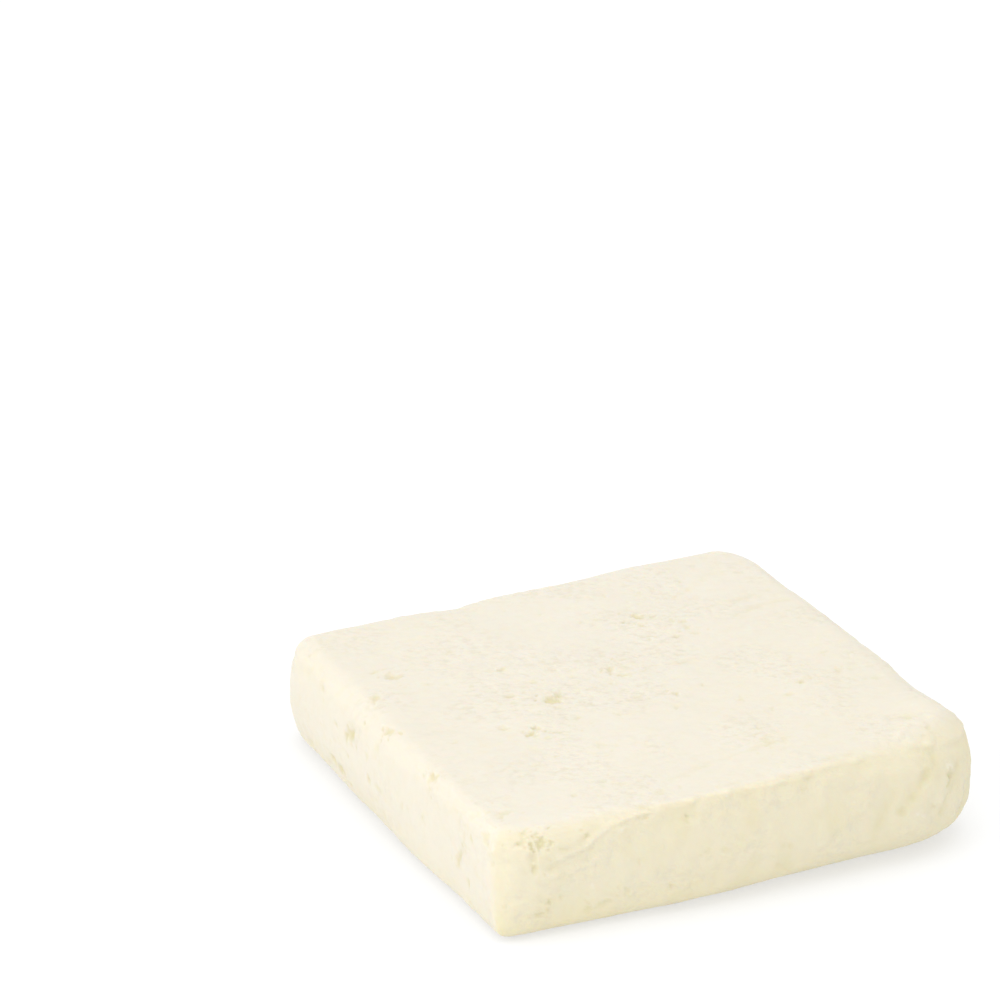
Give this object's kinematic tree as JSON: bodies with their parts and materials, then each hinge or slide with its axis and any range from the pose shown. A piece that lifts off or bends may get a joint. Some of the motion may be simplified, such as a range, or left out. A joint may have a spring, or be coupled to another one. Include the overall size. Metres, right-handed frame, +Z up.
{
  "type": "feta cheese block",
  "caption": "Unwrapped flat block of white brined cheese with soft rounded corners, bulging sides and a nearly flat top marked by small holes and fine drag lines.",
  "frame": {"origin": "centre of the flat underside, at the middle of the block's width and length", "axes": "+X along the longer sides, +Y across towards the far longer side, +Z up through the thickness"},
  "size_m": [0.1002, 0.0934, 0.0241],
  "materials": {
    "cheese": "moist satin cheese, creamy white, with small pits and fine drag lines"
  },
  "bodies": {
    "root": {"feta_block": "cheese"}
  },
  "joints": []
}
